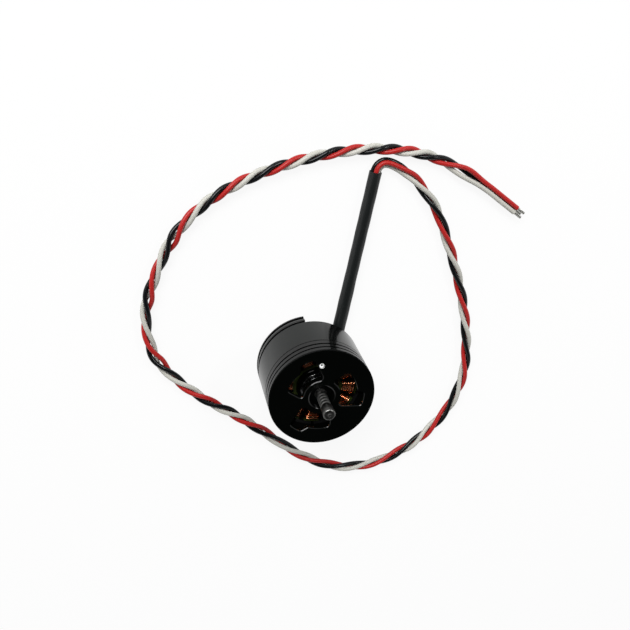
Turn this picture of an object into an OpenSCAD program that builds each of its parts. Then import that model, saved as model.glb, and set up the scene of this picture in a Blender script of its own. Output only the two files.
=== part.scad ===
// Outrunner motor for the arm of a small drone, standing on its base with the shaft up.
// Millimetres. The mounting face lies at z = 0 and the shaft runs along +Z through the origin.

/* [Bell] */
// Outside diameter of the bell, the flux ring and the base ring
bell_d = 28; // [27:0.5:32]
// Wall of the steel flux ring
flux_wall = 1.15; // [0.9:0.05:1.4]
// Thickness of the windowed front plate
plate_t = 1.2; // [0.9:0.1:1.5]
// Height of the bell cap's side, from its face down to the flux ring
cap_side_h = 5.3; // [5:0.1:6]
// Depth of the turned grooves round the cap
groove_depth = 0.45; // [0.3:0.05:0.6]
// Diameter of the hub's round recess
recess_d = 6.7; // [6.2:0.1:7.2]
// Depth of the hub's round recess
recess_depth = 1.9; // [1.6:0.1:2.2]
// Thickness of the hub below the recess
hub_t = 2.4; // [2:0.1:4]
// Diameter of the balancing drill spot
balance_d = 1.5; // [1:0.1:1.8]

/* [Shaft] */
// Diameter of the shaft
shaft_d = 3.17; // [2.8:0.01:3.2]
// Length of shaft that stands above the bell's face
shaft_out = 8.3; // [6:0.1:16]
// Diameter at the core of the shaft's thread, above the hub's floor
thread_core_d = 2.6; // [2.2:0.05:2.7]

/* [Magnets] */
// Number of magnets
magnet_n = 14; // [14:2:16]
// Thickness of a magnet
magnet_t = 1.55; // [1.3:0.05:1.6]
// Share of a pole pitch that a magnet covers
magnet_share = 0.86; // [0.7:0.02:0.9]
// Running gap between the magnets and the stator
air_gap = 0.28; // [0.2:0.02:0.4]

/* [Stator] */
// Height of the laminated stack
core_h = 8; // [7:0.5:12]
// Width of a stator tooth
tooth_w = 1.9; // [1.6:0.05:2]
// Thickness of each insulating end plate
insulator_t = 0.6; // [0.4:0.05:0.8]
// Thickness of one layer of turns beside a tooth
layer_t = 0.55; // [0.45:0.01:0.56]
// Height of one layer of turns over a tooth's end
layer_h = 0.62; // [0.5:0.02:0.7]

/* [Base] */
// Height of the base ring
ring_h = 2.7; // [2.4:0.1:3.2]
// Thickness of the base's four arms
arm_t = 2; // [1.6:0.1:2.2]
// Width of an arm
arm_w = 5; // [4.4:0.1:6]
// Distance between the closer pair of mounting holes
hole_pitch_a = 16; // [15.8:0.1:17]
// Distance between the wider pair of mounting holes
hole_pitch_b = 19; // [18:0.1:20]
// Tapping diameter of the mounting holes
hole_d = 2.5; // [2:0.1:3]
// Play between the base ring's lip and the flux ring
can_gap = 0.3; // [0.3:0.05:0.6]

/* [Bearings] */
// Outside diameter of a bearing
bearing_d = 9.52; // [9.4:0.02:9.6]
// Width of a bearing
bearing_w = 4; // [3.8:0.1:4.6]
// Number of balls in a bearing
ball_n = 7; // [6:1:8]
// Diameter of a ball
ball_d = 1.588; // [1.4:0.002:1.6]

/* [Leads] */
// Outside diameter of the heat shrink sleeve
sleeve_d = 3.2; // [2.8:0.1:3.2]
// Diameter of one insulated lead
lead_d = 1.4; // [1.2:0.05:1.4]
// Length of bare tinned wire at a lead's end
tip_l = 2.6; // [1.5:0.1:5]

/* [Hidden] */
$fn = 96;

// Clearance of a pressed or glued seat, all round
press_gap = 0.01;
// Overrun of every cut past the face that it goes through
cut = 1;

// Bearings: rings, grooves and where they sit
bearing_r = bearing_d / 2;
ball_r = ball_d / 2;
shaft_r = shaft_d / 2;
ring_wall = 1;
ball_play = 0.025;
inner_land_r = shaft_r + ring_wall;
outer_land_r = bearing_r - ring_wall;
pitch_r = (inner_land_r + outer_land_r) / 2;
shield_t = 0.2;
shield_inset = 0.1;
shield_seat = 0.3;
shield_play = 0.1;
cage_half_share = 0.36;
cage_wall = 0.36;
cage_play = 0.05;

// Shaft: clip groove below the rear bearing, plain end, chamfer and centre dimple
shaft_inset = 0.4;
shaft_tail = 0.48;
clip_t = 0.4;
clip_play = 0.02;
clip_groove_depth = 0.35;
clip_groove_r = shaft_r - clip_groove_depth;
clip_reach = 0.7;
clip_r = shaft_r + clip_reach;
clip_mouth = 1.6;
shaft_chamfer = 0.3;
dimple_r = 0.55;
dimple_depth = 0.45;
plain_end = 3.2;

// Bearing tube of the base
tube_wall = 0.85;
tube_r = bearing_r + tube_wall;
shoulder = 0.5;
tube_lip = 0.2;
tube_chamfer = 0.15;
rear_bearing_z = shaft_inset + shaft_tail + clip_t + clip_play;

// Stator stack from the arms upwards
tooth_n = 12;
coil_room = 1.04;
coil_fit = 0.02;
side_insulation = 0.08;
layers = 2;
head_h = layers * layer_h;
coil_low = arm_t + coil_room;
core_z = coil_low + head_h + coil_fit + insulator_t;
core_top = core_z + core_h;
yoke_t = 0.8;
yoke_r = tube_r + yoke_t;
seat_w = 0.55;
seat_r = tube_r + seat_w;
tube_rise = 1.7;
tube_top = core_top + tube_rise;
front_bearing_z = tube_top - tube_lip - bearing_w;

// Bell from the front bearing upwards
washer_t = 0.8;
washer_inset = 0.05;
washer_r = inner_land_r - washer_inset;
hub_z = tube_top - tube_lip + washer_t;
face_z = hub_z + hub_t + recess_depth;
shaft_z = face_z + shaft_out;
bell_r = bell_d / 2;
recess_r = recess_d / 2;
recess_bevel_w = 0.3;
recess_bevel_h = 0.14;
hub_wall = 1.4;
hub_r = recess_r + hub_wall;
hub_foot_r = 3;
hub_shelf = 0.3;
cap_wall = 2;
cap_in_r = bell_r - cap_wall;
cap_round = 0.6;
cap_z = face_z - cap_side_h;
edge_w = 0.25;
edge_h = 0.2;
rim_h = 1.1;
groove_w = 0.5;
band_h = 1.2;
low_groove_w = 0.55;
seam_w = 0.25;
seam_depth = 0.2;
spigot_h = 0.8;
lip_bevel = 0.03;
balance_r = 9.35;
balance_a = 96.3;
balance_depth = 0.25;

// Cooling windows, each a foot with a straight edge, a step inwards and a round nose
window_n = 3;
window_inset = 0.25;
window_rim = 0.8;
window_step = 1.75;
window_edge = 2.75;
window_step_from = 5.5;
window_step_to = 12.6;
window_far = 48.3;
window_nose = 67.1;
foot_round = 0.9;
step_round = 0.55;
far_round = 1.1;
nose_round = 0.8;
nose_gap_share = 1.5;
heel_round = 1.1;

// Base ring, its groove, lip and cable notch
ring_w = 1.8;
ring_in_r = bell_r - ring_w;
ring_foot_h = 0.65;
ring_groove_h = 0.85;
ring_lip_h = 0.5;
ring_lip_in = 0.5;
ring_lip_w = 1.2;
notch_from = 20;
notch_to = 99.8;
notch_w = 2.4;
notch_r = bell_r - notch_w;
arm_turn = (notch_from + notch_to) / 2 - 45;

// Flux ring and magnets
can_z = ring_h + ring_lip_h + can_gap;
flux_in_r = bell_r - flux_wall;
glue_gap = 0.02;
magnet_out_r = flux_in_r - glue_gap;
magnet_in_r = magnet_out_r - magnet_t;
magnet_inset = 0.9;
magnet_top_gap = 0.2;
magnet_z = can_z + magnet_inset;
magnet_top = cap_z - spigot_h - magnet_top_gap;

// Stator teeth and coils
stator_r = magnet_in_r - air_gap;
stator_turn = -3;
shoe_t = 0.65;
shoe_in_r = stator_r - shoe_t;
slot_mouth = 1.5;
coil_end_gap = 0.05;
coil_foot_gap = 0.2;
coil_in_r = yoke_r + coil_foot_gap;
coil_step_share = 0.52;
coil_half = tooth_w / 2 + side_insulation + coil_fit;
coil_side = coil_half + layers * layer_t;
coil_out_r = sqrt(shoe_in_r * shoe_in_r - coil_side * coil_side) - coil_end_gap;
coil_step_r = coil_in_r + (coil_out_r - coil_in_r) * coil_step_share;
coil_corner = 0.5;

// Cable: the sleeve lies straight, the leads follow a hand chosen route on the floor
sleeve_rise = 0.05;
sleeve_z = sleeve_d / 2 + sleeve_rise;
sleeve_start = [7.35, 9.5];
sleeve_end = [11.88, 54.8];
route = [
  [11.88, 54.8], [12.35, 56.1], [13.4, 57.05], [14.75, 57.25], [16.9, 56.65], [19.7, 55.3],
  [23.2, 52.8], [29.5, 46], [34.5, 37], [39, 27.5], [43, 17.5], [46, 6.5], [47.2, -4],
  [45, -14.5], [40, -23], [33.5, -29.5], [25, -34.2], [16, -35.6], [7.5, -33.8], [-1, -29.3],
  [-10, -22.6], [-19, -16.2], [-28, -10.6], [-36, -4], [-42, 4], [-44, 15], [-41.8, 26],
  [-37, 37], [-30, 45.2], [-21, 51.2], [-11, 55.6], [0, 58.9], [12, 60.6], [24, 59.8],
  [34.5, 56.4], [43.7, 51.5]
];
route_steps = 2;
cord_sides = 8;
end_run = [8.5, -5.3];
nest_r = lead_d / sqrt(3);
bundle_r = nest_r + lead_d / 2;
lead_spread = 0.05;
tip_share = 0.64;

// Three enamelled tails between the coils and the sleeve
phase_d = 0.64;
phase_pitch = 1.05;
phase_sink_share = 0.8;

function unit(v) = v / norm(v);
function polar(r, a) = [r * cos(a), r * sin(a)];
function lifted(p, z) = [p.x, p.y, z];

// The angle that a length covers on a circle of radius r
function arc_angle(l, r) = 180 * l / (PI * r);

// Points of an arc about the origin
function arc(r, from, to, steps) = [for (i = [0 : steps]) polar(r, from + (to - from) * i / steps)];

// Points of a fillet of radius r at corner c, between the directions of p and q
function fillet(p, c, q, r, steps) =
  let (
    u = unit(p - c),
    v = unit(q - c),
    half = acos(u * v) / 2,
    centre = c + unit(u + v) * r / sin(half),
    a = c + u * r / tan(half) - centre,
    b = c + v * r / tan(half) - centre,
    from = atan2(a.y, a.x),
    sweep = (atan2(b.y, b.x) - from + 540) % 360 - 180
  )
  [for (i = [0 : steps]) centre + polar(r, from + sweep * i / steps)];

// A point of a smooth curve through b and c, with neighbours a and d
function spline(a, b, c, d, t) =
  (b * 2 + (c - a) * t + (a * 2 - b * 5 + c * 4 - d) * t * t + (b * 3 - a - c * 3 + d) * t * t * t) / 2;

// The route's points with more of them between, on a smooth curve
function smooth_route(p, steps) =
  let (n = len(p))
  [
    for (i = [0 : n - 2])
      for (k = [0 : steps - 1])
        spline(p[max(i - 1, 0)], p[i], p[i + 1], p[min(i + 2, n - 1)], k / steps),
    p[n - 1]
  ];

// A round bar between two points
module bar(a, b, r) {
  run = b - a;
  translate(a)
    rotate([0, acos(run.z / norm(run)), atan2(run.y, run.x)])
      cylinder(h = norm(run), r = r, $fn = 32);
}

// A round ring with a bore, standing on z = 0
module ring(r_out, r_in, h) {
  difference() {
    cylinder(h = h, r = r_out);
    translate([0, 0, -cut]) cylinder(h = h + 2 * cut, r = r_in);
  }
}

// A flat wedge from the origin between two angles
module wedge(r, from, to) {
  polygon(concat([[0, 0]], [for (i = [0 : 4]) polar(r, from + (to - from) * i / 4)]));
}

// Bearings

module bearing_inner(z) {
  translate([0, 0, z])
    difference() {
      ring(inner_land_r, shaft_r + press_gap, bearing_w);
      race_groove();
    }
}

module bearing_outer(z) {
  translate([0, 0, z])
    difference() {
      ring(bearing_r, outer_land_r, bearing_w);
      race_groove();
      translate([0, 0, -cut]) cylinder(h = cut + shield_inset + shield_t, r = outer_land_r + shield_seat);
      translate([0, 0, bearing_w - shield_inset - shield_t])
        cylinder(h = cut + shield_inset + shield_t, r = outer_land_r + shield_seat);
    }
}

module race_groove() {
  translate([0, 0, bearing_w / 2])
    rotate_extrude()
      translate([pitch_r, 0]) circle(r = ball_r + ball_play, $fn = 48);
}

module bearing_balls(z) {
  translate([0, 0, z + bearing_w / 2])
    for (i = [0 : ball_n - 1])
      rotate([0, 0, 360 * i / ball_n]) translate([pitch_r, 0, 0]) sphere(r = ball_r, $fn = 48);
}

module bearing_cage(z) {
  cage_half = ball_r * cage_half_share;
  cage_low = ball_r + cage_wall;
  translate([0, 0, z + bearing_w / 2])
    difference() {
      translate([0, 0, -cage_low])
        ring(pitch_r + cage_half, pitch_r - cage_half, cage_low + cage_half);
      for (i = [0 : ball_n - 1])
        rotate([0, 0, 360 * i / ball_n])
          translate([pitch_r, 0, 0]) sphere(r = ball_r + cage_play, $fn = 48);
    }
}

module front_bearing_outer() {
  color("silver") bearing_outer(front_bearing_z);
}

module rear_bearing_outer() {
  color("silver") bearing_outer(rear_bearing_z);
}

module front_bearing_inner() {
  color("silver") bearing_inner(front_bearing_z);
}

module rear_bearing_inner() {
  color("silver") bearing_inner(rear_bearing_z);
}

module front_bearing_balls() {
  color("gainsboro") bearing_balls(front_bearing_z);
}

module rear_bearing_balls() {
  color("gainsboro") bearing_balls(rear_bearing_z);
}

module front_bearing_cage() {
  color("goldenrod") bearing_cage(front_bearing_z);
}

module rear_bearing_cage() {
  color("goldenrod") bearing_cage(rear_bearing_z);
}

module bearing_shields() {
  color("darkgray")
    for (z = [front_bearing_z, rear_bearing_z])
      for (s = [shield_inset, bearing_w - shield_inset - shield_t])
        translate([0, 0, z + s])
          ring(outer_land_r + shield_seat - press_gap, inner_land_r + shield_play, shield_t);
}

// Base

module arm_2d(reach) {
  translate([0, -arm_w / 2]) square([reach, arm_w]);
}

module mount_base() {
  color([0.1, 0.1, 0.1])
    difference() {
      union() {
        base_ring();
        linear_extrude(arm_t)
          intersection() {
            circle(r = ring_in_r + ring_w / 2);
            for (i = [0 : 3]) rotate(arm_turn + 90 * i) arm_2d(bell_r);
          }
        cylinder(h = core_z - insulator_t, r = seat_r);
        bearing_tube();
      }
      translate([0, 0, -cut])
        linear_extrude(ring_h + ring_lip_h + 2 * cut)
          difference() {
            wedge(2 * bell_r, notch_from, notch_to);
            circle(r = notch_r);
          }
      translate([0, 0, -cut]) cylinder(h = cut + rear_bearing_z + bearing_w, r = bearing_r + press_gap);
      translate([0, 0, front_bearing_z]) cylinder(h = cut + bearing_w, r = bearing_r + press_gap);
      cylinder(h = tube_top, r = bearing_r - shoulder);
      mounting_holes(arm_turn, hole_pitch_a);
      mounting_holes(arm_turn + 90, hole_pitch_b);
    }
}

module mounting_holes(a, pitch) {
  for (s = [0, 180])
    rotate([0, 0, a + s])
      translate([pitch / 2, 0, -cut]) cylinder(h = arm_t + 2 * cut, r = hole_d / 2);
}

module bearing_tube() {
  rotate_extrude()
    polygon([
      [0, 0],
      [tube_r, 0],
      [tube_r, tube_top - tube_chamfer],
      [tube_r - tube_chamfer, tube_top],
      [0, tube_top]
    ]);
}

module base_ring() {
  groove_top = ring_foot_h + ring_groove_h;
  rotate_extrude()
    polygon([
      [ring_in_r, 0],
      [bell_r - lip_bevel, 0],
      [bell_r, lip_bevel],
      [bell_r, ring_foot_h],
      [bell_r - groove_depth, ring_foot_h],
      [bell_r - groove_depth, groove_top],
      [bell_r, groove_top],
      [bell_r, ring_h - lip_bevel],
      [bell_r - lip_bevel, ring_h],
      [bell_r - ring_lip_in, ring_h],
      [bell_r - ring_lip_in, ring_h + ring_lip_h],
      [bell_r - ring_lip_in - ring_lip_w, ring_h + ring_lip_h],
      [ring_in_r, ring_h]
    ]);
}

// Stator

module stator_2d(tooth) {
  difference() {
    union() {
      circle(r = yoke_r);
      intersection() {
        circle(r = stator_r);
        for (i = [0 : tooth_n - 1])
          rotate(stator_turn + 360 * i / tooth_n) translate([0, -tooth / 2]) square([bell_r, tooth]);
      }
      difference() {
        circle(r = stator_r);
        circle(r = shoe_in_r);
        for (i = [0 : tooth_n - 1])
          rotate(stator_turn + 360 * (i + 0.5) / tooth_n)
            translate([0, -slot_mouth / 2]) square([bell_r, slot_mouth]);
      }
    }
    circle(r = tube_r + press_gap);
  }
}

module stator_core() {
  color([0.35, 0.36, 0.36]) translate([0, 0, core_z]) linear_extrude(core_h) stator_2d(tooth_w);
}

module front_insulator() {
  color([0.3, 0.38, 0.14])
    translate([0, 0, core_top]) linear_extrude(insulator_t) stator_2d(tooth_w + 2 * side_insulation);
}

module rear_insulator() {
  color([0.3, 0.38, 0.14])
    translate([0, 0, core_z - insulator_t])
      linear_extrude(insulator_t) stator_2d(tooth_w + 2 * side_insulation);
}

// A rectangle with round corners, centred on the origin
module rounded_rect(w, h, r) {
  square([w - 2 * r, h], center = true);
  square([w, h - 2 * r], center = true);
  for (x = [-1, 1])
    for (y = [-1, 1])
      translate([x * (w / 2 - r), y * (h / 2 - r)]) circle(r = r, $fn = 32);
}

// One layer of turns round a tooth that lies along +X, up to n layers deep
module coil_layer(r_from, r_to, n) {
  inner_w = 2 * coil_half;
  inner_h = core_h + 2 * (insulator_t + coil_fit);
  translate([r_from, 0, core_z + core_h / 2])
    rotate([90, 0, 90])
      linear_extrude(r_to - r_from)
        difference() {
          rounded_rect(inner_w + 2 * n * layer_t, inner_h + 2 * n * layer_h, n * coil_corner);
          square([inner_w, inner_h], center = true);
        }
}

module windings() {
  color([0.72, 0.42, 0.26])
    for (i = [0 : tooth_n - 1])
      rotate([0, 0, stator_turn + 360 * i / tooth_n]) {
        coil_layer(coil_in_r, coil_out_r, 1);
        coil_layer(coil_step_r, coil_out_r, layers);
      }
}

// Three enamelled tails run from the sleeve's inner end up to the coils' undersides
module phase_wires() {
  r = phase_d / 2;
  coil_mid = (coil_step_r + coil_out_r) / 2;
  along = unit(sleeve_end - sleeve_start);
  side = [along.y, -along.x];
  color([0.66, 0.36, 0.2])
    for (i = [-1 : 1])
      bar(
        lifted(sleeve_start + side * i * phase_pitch, sleeve_z),
        lifted(polar(coil_mid, stator_turn + 60 - 30 * i), coil_low - r * phase_sink_share),
        r
      );
}

// Cable

module heat_shrink_sleeve() {
  color([0.12, 0.13, 0.13])
    bar(lifted(sleeve_start, sleeve_z), lifted(sleeve_end, sleeve_z), sleeve_d / 2);
}

// The three leads as one plain tube, swept along the route on the floor
module lead_bundle() {
  p = smooth_route(route, route_steps);
  n = len(p);
  first = unit(sleeve_end - sleeve_start);
  last = unit(end_run);
  heading = [for (i = [0 : n - 1]) i == 0 ? first : i == n - 1 ? last : unit(p[i + 1] - p[i - 1])];
  points = [
    for (i = [0 : n - 1])
      for (k = [0 : cord_sides - 1])
        let (at = polar(bundle_r, 360 * (k + 0.5) / cord_sides))
        [p[i].x - heading[i].y * at.x, p[i].y + heading[i].x * at.x, sleeve_z + at.y]
  ];
  walls = [
    for (i = [0 : n - 2])
      for (k = [0 : cord_sides - 1])
        let (
          a = i * cord_sides + k,
          b = i * cord_sides + (k + 1) % cord_sides
        )
        each [[a, b, b + cord_sides], [a, b + cord_sides, a + cord_sides]]
  ];
  start_cap = [[for (k = [cord_sides - 1 : -1 : 0]) k]];
  end_cap = [[for (k = [0 : cord_sides - 1]) (n - 1) * cord_sides + k]];
  color([0.4, 0.1, 0.1]) polyhedron(points = points, faces = concat(walls, start_cap, end_cap));
}

// Place of each lead across the bundle: sideways and upwards from the bundle's middle
lead_places = [
  [lead_d / 2 + lead_spread, nest_r / 2],
  [-lead_d / 2 - lead_spread, nest_r / 2],
  [0, -nest_r]
];

function lead_start(i) =
  let (
    along = unit(end_run),
    at = route[len(route) - 1],
    place = lead_places[i]
  )
  [at.x - along.y * place.x, at.y + along.x * place.x, sleeve_z + place.y];

function lead_stop(i) = lead_start(i) + lifted(end_run, 0);

module lead_end(i) {
  bar(lead_start(i), lead_stop(i), lead_d / 2);
}

module red_lead_end() {
  color([0.7, 0.15, 0.13]) lead_end(0);
}

module white_lead_end() {
  color([0.8, 0.8, 0.75]) lead_end(1);
}

module black_lead_end() {
  color([0.08, 0.08, 0.08]) lead_end(2);
}

module tinned_tips() {
  color([0.6, 0.6, 0.58])
    for (i = [0 : 2])
      bar(lead_stop(i), lead_stop(i) + lifted(unit(end_run) * tip_l, 0), tip_share * lead_d / 2);
}

// Rotor

// One cooling window, lying mostly to the right of the hub
module window_2d() {
  in_r = hub_r + window_inset;
  foot_r = cap_in_r - window_rim;
  step_r = foot_r - window_step;
  inner_foot = [sqrt(in_r * in_r - window_edge * window_edge), -window_edge];
  outer_foot = [sqrt(foot_r * foot_r - window_edge * window_edge), -window_edge];
  inner_a = atan2(inner_foot.y, inner_foot.x);
  outer_a = atan2(outer_foot.y, outer_foot.x);
  foot_turn = arc_angle(foot_round, foot_r);
  step_turn = arc_angle(step_round, step_r);
  far_turn = arc_angle(far_round, step_r);
  nose_turn = arc_angle(2 * nose_round, in_r);
  heel_turn = arc_angle(2 * heel_round, in_r);
  step_out = polar(foot_r, window_step_from);
  step_in = polar(step_r, window_step_to);
  far = polar(step_r, window_far);
  nose = polar(in_r, window_nose);
  polygon(concat(
    fillet(polar(in_r, inner_a + heel_turn), inner_foot, outer_foot, heel_round, 5),
    fillet(inner_foot, outer_foot, polar(foot_r, outer_a + foot_turn), foot_round, 5),
    arc(foot_r, outer_a + foot_turn, window_step_from - foot_turn, 3),
    fillet(polar(foot_r, window_step_from - foot_turn), step_out, step_in, foot_round, 4),
    fillet(step_out, step_in, polar(step_r, window_step_to + step_turn), step_round, 3),
    arc(step_r, window_step_to + step_turn, window_far - far_turn, 8),
    fillet(polar(step_r, window_far - far_turn), far, nose, far_round, 5),
    fillet(far, nose, polar(in_r, window_nose - nose_turn), nose_round, 6),
    arc(in_r, window_nose - nose_gap_share * nose_turn, inner_a + heel_turn, 12)
  ));
}

module bell_cap() {
  z1 = face_z - edge_h;
  z2 = z1 - rim_h;
  z3 = z2 - groove_w;
  z4 = z3 - band_h;
  z5 = z4 - low_groove_w;
  z6 = cap_z + seam_w;
  groove_r = bell_r - groove_depth;
  plate_z = face_z - plate_t;
  spigot_r = flux_in_r - press_gap;
  balance_at = polar(balance_r, balance_a);
  color([0.07, 0.07, 0.07])
    difference() {
      rotate_extrude()
        polygon(concat(
          [
            [0, hub_z],
            [hub_foot_r, hub_z],
            [hub_r, hub_z + hub_t - hub_shelf],
            [hub_r, plate_z],
            [cap_in_r - cap_round, plate_z]
          ],
          [for (a = [75 : -15 : 15]) [cap_in_r - cap_round, plate_z - cap_round] + polar(cap_round, a)],
          [
            [cap_in_r, plate_z - cap_round],
            [cap_in_r, cap_z - spigot_h],
            [spigot_r, cap_z - spigot_h],
            [spigot_r, cap_z],
            [bell_r - seam_depth, cap_z],
            [bell_r - seam_depth, z6],
            [bell_r, z6],
            [bell_r, z5 - lip_bevel],
            [bell_r - lip_bevel, z5],
            [groove_r, z5],
            [groove_r, z4],
            [bell_r - lip_bevel, z4],
            [bell_r, z4 + lip_bevel],
            [bell_r, z3 - lip_bevel],
            [bell_r - lip_bevel, z3],
            [groove_r, z3],
            [groove_r, z2],
            [bell_r - lip_bevel, z2],
            [bell_r, z2 + lip_bevel],
            [bell_r, z1],
            [bell_r - edge_w, face_z],
            [0, face_z]
          ]
        ));
      translate([0, 0, hub_z - cut]) cylinder(h = hub_t + 2 * cut, r = shaft_r + press_gap);
      translate([0, 0, face_z - recess_depth]) cylinder(h = recess_depth + cut, r = recess_r);
      translate([0, 0, face_z - recess_bevel_h])
        cylinder(h = 2 * recess_bevel_h, r1 = recess_r, r2 = recess_r + 2 * recess_bevel_w);
      translate([0, 0, plate_z - cap_round - cut])
        linear_extrude(plate_t + cap_round + 2 * cut)
          for (i = [0 : window_n - 1]) rotate(360 * i / window_n) window_2d();
      translate([balance_at.x, balance_at.y, face_z - balance_depth])
        cylinder(h = balance_depth + cut, r = balance_d / 2);
      translate([balance_at.x, balance_at.y, face_z - balance_depth - balance_d / 4])
        cylinder(h = balance_d / 4, r1 = 0, r2 = balance_d / 2);
    }
}

module flux_ring() {
  color([0.27, 0.28, 0.28])
    translate([0, 0, can_z])
      rotate_extrude()
        polygon([
          [flux_in_r, 0],
          [bell_r - lip_bevel, 0],
          [bell_r, lip_bevel],
          [bell_r, cap_z - can_z],
          [flux_in_r, cap_z - can_z]
        ]);
}

module magnets() {
  half = 180 / magnet_n * magnet_share;
  color([0.55, 0.55, 0.54])
    translate([0, 0, magnet_z])
      linear_extrude(magnet_top - magnet_z)
        intersection() {
          difference() {
            circle(r = magnet_out_r);
            circle(r = magnet_in_r);
          }
          for (i = [0 : magnet_n - 1]) rotate(360 * i / magnet_n) wedge(bell_r, -half, half);
        }
}

module shaft() {
  clip_z = shaft_inset + shaft_tail;
  floor_z = hub_z + hub_t;
  color([0.5, 0.5, 0.5])
    difference() {
      rotate_extrude()
        polygon([
          [0, shaft_inset],
          [shaft_r - shaft_chamfer, shaft_inset],
          [shaft_r, shaft_inset + shaft_chamfer],
          [shaft_r, clip_z],
          [clip_groove_r, clip_z],
          [clip_groove_r, clip_z + clip_t + clip_play],
          [shaft_r, clip_z + clip_t + clip_play],
          [shaft_r, floor_z],
          [thread_core_d / 2, floor_z],
          [thread_core_d / 2, shaft_z - plain_end],
          [shaft_r, shaft_z - plain_end],
          [shaft_r, shaft_z - shaft_chamfer],
          [shaft_r - shaft_chamfer, shaft_z],
          [0, shaft_z]
        ]);
      translate([0, 0, shaft_z - dimple_depth])
        cylinder(h = 2 * dimple_depth, r1 = 0, r2 = 2 * dimple_r);
    }
}

module spacer_washer() {
  color([0.6, 0.6, 0.6])
    translate([0, 0, hub_z - washer_t]) ring(washer_r, shaft_r + press_gap, washer_t);
}

module retaining_clip() {
  color([0.3, 0.3, 0.32])
    translate([0, 0, shaft_inset + shaft_tail + clip_play / 2])
      linear_extrude(clip_t)
        difference() {
          circle(r = clip_r);
          circle(r = clip_groove_r + press_gap);
          translate([0, -clip_mouth / 2]) square([2 * clip_r, clip_mouth]);
        }
}

mount_base();
front_bearing_outer();
rear_bearing_outer();
bearing_shields();
stator_core();
front_insulator();
rear_insulator();
windings();
phase_wires();
heat_shrink_sleeve();
lead_bundle();
red_lead_end();
white_lead_end();
black_lead_end();
tinned_tips();
front_bearing_balls();
front_bearing_cage();
rear_bearing_balls();
rear_bearing_cage();
bell_cap();
flux_ring();
magnets();
shaft();
spacer_washer();
retaining_clip();
front_bearing_inner();
rear_bearing_inner();
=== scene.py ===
import math

import bmesh
import bpy
from bpy.props import FloatProperty, FloatVectorProperty, IntProperty, PointerProperty
from mathutils import Matrix, Vector


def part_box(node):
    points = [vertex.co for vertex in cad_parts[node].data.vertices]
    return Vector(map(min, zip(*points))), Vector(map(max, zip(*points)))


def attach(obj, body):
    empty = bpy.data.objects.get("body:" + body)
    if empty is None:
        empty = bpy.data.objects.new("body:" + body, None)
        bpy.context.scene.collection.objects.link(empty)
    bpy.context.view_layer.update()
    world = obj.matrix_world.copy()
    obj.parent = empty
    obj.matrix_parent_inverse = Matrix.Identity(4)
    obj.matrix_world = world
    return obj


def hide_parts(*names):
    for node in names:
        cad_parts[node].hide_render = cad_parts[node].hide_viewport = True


bl_info = {
    "name": "Drone arm motor",
    "version": (1, 0, 0),
    "blender": (4, 5, 0),
    "location": "3D View > Sidebar > Motor",
    "description": "Dresses the packed solids of a small outrunner motor with its cable",
    "category": "Object",
}

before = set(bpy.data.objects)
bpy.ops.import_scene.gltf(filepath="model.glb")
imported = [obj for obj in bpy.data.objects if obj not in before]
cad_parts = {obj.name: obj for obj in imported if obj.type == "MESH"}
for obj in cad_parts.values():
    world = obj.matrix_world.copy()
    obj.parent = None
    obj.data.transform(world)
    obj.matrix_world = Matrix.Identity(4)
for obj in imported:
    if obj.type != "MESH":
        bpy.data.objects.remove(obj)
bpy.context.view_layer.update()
MM = 0.001

# The camera: its place in millimetres and the directions of its right and back
CAMERA_LENS = 44.43
CAMERA_SENSOR = 36
CAMERA_NEAR = 5 * MM
CAMERA_AT = (-48.97, 103.19, 184.57)
CAMERA_RIGHT = (0.97166, 0.10272, 0.21290)
CAMERA_BACK = (-0.23639, 0.42223, 0.87513)

# The cable's route on the floor, in millimetres, as the solids have it
SLEEVE_START = (7.35, 9.5)
SLEEVE_END = (11.88, 54.8)
ROUTE = [
    (11.88, 54.8), (12.35, 56.1), (13.4, 57.05), (14.75, 57.25), (16.9, 56.65), (19.7, 55.3),
    (23.2, 52.8), (29.5, 46), (34.5, 37), (39, 27.5), (43, 17.5), (46, 6.5), (47.2, -4),
    (45, -14.5), (40, -23), (33.5, -29.5), (25, -34.2), (16, -35.6), (7.5, -33.8), (-1, -29.3),
    (-10, -22.6), (-19, -16.2), (-28, -10.6), (-36, -4), (-42, 4), (-44, 15), (-41.8, 26),
    (-37, 37), (-30, 45.2), (-21, 51.2), (-11, 55.6), (0, 58.9), (12, 60.6), (24, 59.8),
    (34.5, 56.4), (43.7, 51.5),
]
END_RUN = (8.5, -5.3)
CABLE_Z = (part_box("heat_shrink_sleeve")[0].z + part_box("heat_shrink_sleeve")[1].z) / 2
CURVE_STEPS = 24
CABLE_STEP = 0.5

# How the leads lie, in millimetres along the route from the sleeve's mouth
LEADS = 3
# Distance of each lead's middle from the cable's middle
NEST_R = 0.81
# Places along the route, and how many leads have come out on top by there: red, white, black,
# red and so on
LAY = [
    (-46, -6.6), (-1, 0.2), (8, 0), (32.5, 3), (54.5, 6), (97, 12), (109, 14), (146, 19),
    (156, 20), (180, 24), (211, 29), (239, 34), (307, 48), (311.5, 48.5),
]
# The turn at a place is the mean of this many samples over this length
LAY_SAMPLES = 9
LAY_EASE = 7
# Places where the leads lie a little apart: distance, room on each side, reach along the cable
LOOSE = [(153, 0.12, 5), (195, 0.3, 4), (213, 0.25, 4), (230, 0.3, 4), (313, 0.55, 4)]

# The tinned tips
TIP_L = 2.6 * MM
TIP_STEPS = 9
TIP_TWIST = 0.16
STRAND_R = 0.13 * MM
STRAND_RING_R = 0.24 * MM
STRAND_SIDES = 8

# The sleeve: how much it sinks between the leads, and how far it is flattened near the motor
SLEEVE_SIDES = 48
SLEEVE_STEPS = 60
SLEEVE_SINK = 0.012
SLEEVE_WIDER = 1.02
FLAT_WIDER = 0.08
FLAT_FROM = 31
FLAT_EASE = 1.5

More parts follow.
